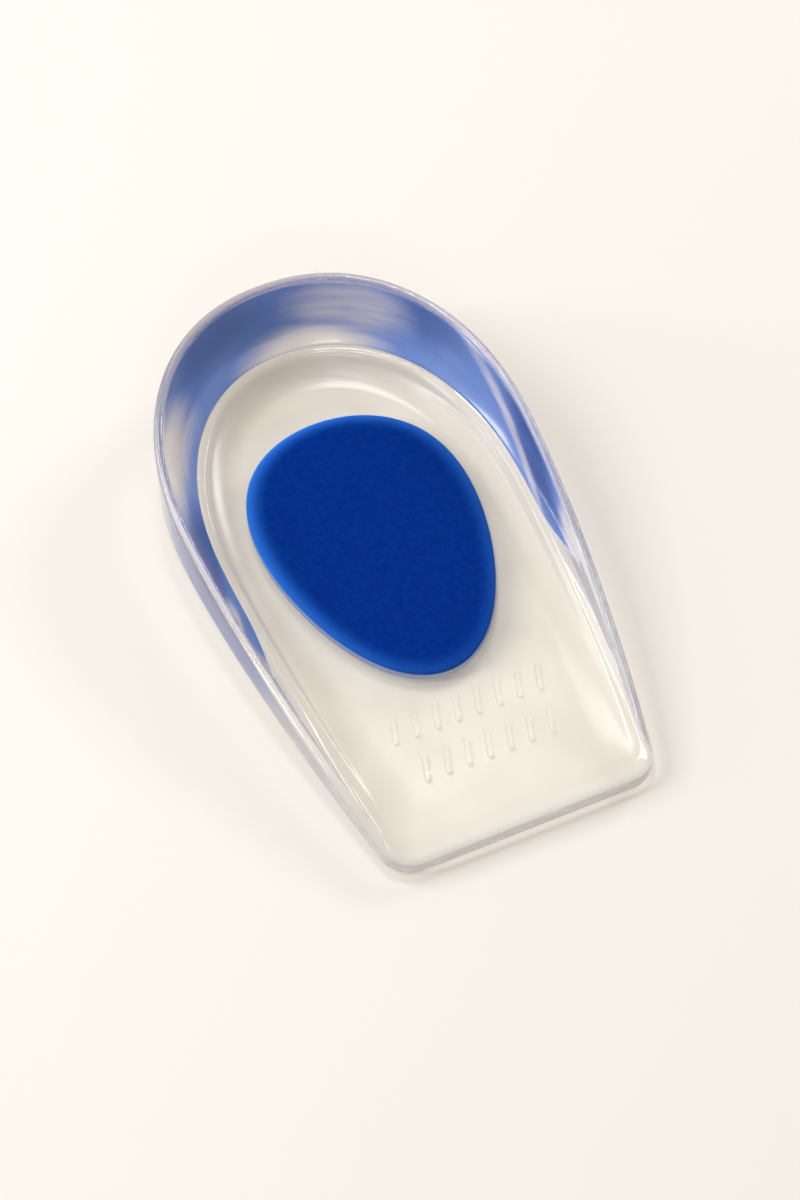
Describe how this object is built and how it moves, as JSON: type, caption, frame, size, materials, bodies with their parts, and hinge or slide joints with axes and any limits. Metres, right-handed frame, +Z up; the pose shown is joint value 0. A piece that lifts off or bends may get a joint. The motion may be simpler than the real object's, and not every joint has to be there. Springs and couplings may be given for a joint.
{
  "type": "gel heel cup",
  "caption": "Clear silicone gel heel cup for a shoe, with a raised wall round the heel, a blue lining and a soft blue pad under the heel bone.",
  "frame": {"origin": "under the middle of the cup's length and width, on the surface that it lies on", "axes": "+Y to the back of the heel, +X across the cup, +Z up out of the cup"},
  "size_m": [0.066, 0.112, 0.0194],
  "materials": {
    "clear_gel": "clear silicone gel with a glossy wet surface and a slight milky warmth",
    "blue_lining": "translucent blue silicone gel, glossy, thinning out to clear at its front ends",
    "blue_pad": "opaque royal blue soft gel with a fine satin grain"
  },
  "bodies": {
    "root": {"cup": "clear_gel", "wall_lining": "blue_lining", "heel_pad": "blue_pad"}
  },
  "joints": []
}
